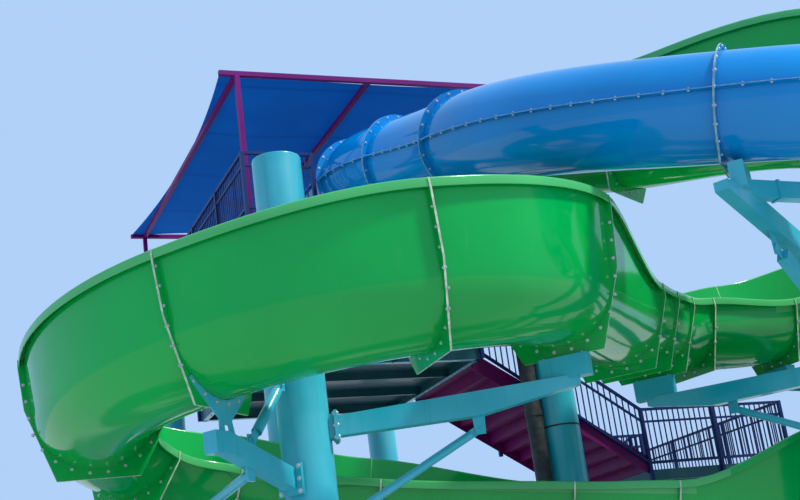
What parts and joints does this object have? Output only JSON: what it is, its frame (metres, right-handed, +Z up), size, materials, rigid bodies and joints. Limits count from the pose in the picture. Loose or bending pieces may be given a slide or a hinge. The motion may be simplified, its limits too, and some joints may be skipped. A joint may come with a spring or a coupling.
{
  "type": "water slide tower",
  "caption": "Roofed stair tower feeding an open flume and a closed tube slide that wind down on round steel columns with tapered arms and raking struts.",
  "frame": {"origin": "middle of the underside of the base plate of the column inside the big turn of the flume, at ground level", "axes": "+X along the front of the stair tower, +Y from its front to its back, +Z up"},
  "size_m": [19.724, 17.3609, 11.3083],
  "materials": {
    "green_fibreglass": "glossy gel coat over glass fibre",
    "blue_fibreglass": "glossy gel coat over glass fibre",
    "teal_steel": "semi-gloss paint on steel",
    "dark_teal_steel": "satin paint on steel",
    "magenta_steel": "satin paint on steel",
    "navy_steel": "satin paint on steel",
    "blue_fabric": "woven shade cloth",
    "black_pipe": "smooth black plastic pipe"
  },
  "bodies": {
    "root": {"flume_start": "green_fibreglass", "flume_upper": "green_fibreglass", "flume_hairpin_1": "green_fibreglass", "flume_hairpin_2": "green_fibreglass", "flume_bend": "green_fibreglass", "flume_lead_in": "green_fibreglass", "flume_turn_1": "green_fibreglass", "flume_turn_2": "green_fibreglass", "flume_turn_3": "green_fibreglass", "flume_back": "green_fibreglass", "flume_lower_1": "green_fibreglass", "flume_lower_2": "green_fibreglass", "flume_run_out": "green_fibreglass", "flume_tub": "green_fibreglass", "tube_start": "blue_fibreglass", "tube_drop": "blue_fibreglass", "tube_curve": "blue_fibreglass", "tube_tub": "blue_fibreglass", "column_1": "teal_steel", "arm_right": "teal_steel", "strut_right": "teal_steel", "arm_left": "teal_steel", "tie_left": "teal_steel", "strut_left": "teal_steel", "column_3": "teal_steel", "arm_tube": "teal_steel", "beam_tube": "teal_steel", "strut_tube": "teal_steel", "arm_mid": "teal_steel", "strut_mid": "teal_steel", "column_4": "teal_steel", "column_5": "teal_steel", "column_6": "teal_steel", "turn_post": "teal_steel", "back_post": "teal_steel", "lower_post_1": "teal_steel", "lower_post_2": "teal_steel", "lower_post_3": "teal_steel", "run_out_post_1": "teal_steel", "run_out_post_2": "teal_steel", "tower_column_front_left": "teal_steel", "tower_column_front_right": "teal_steel", "tower_column_back_left": "teal_steel", "tower_column_back_right": "teal_steel", "upper_deck": "dark_teal_steel", "lower_deck": "dark_teal_steel", "landing": "dark_teal_steel", "flight_upper": "magenta_steel", "flight_middle": "magenta_steel", "flight_lower": "magenta_steel", "flight_ground": "magenta_steel", "canopy_frame": "magenta_steel", "railing_upper": "navy_steel", "railing_front": "navy_steel", "railing_well": "navy_steel", "railing_outer": "navy_steel", "railing_inner": "navy_steel", "railing_deck": "navy_steel", "canopy_fabric": "blue_fabric", "supply_pipe": "black_pipe"}
  },
  "joints": []
}
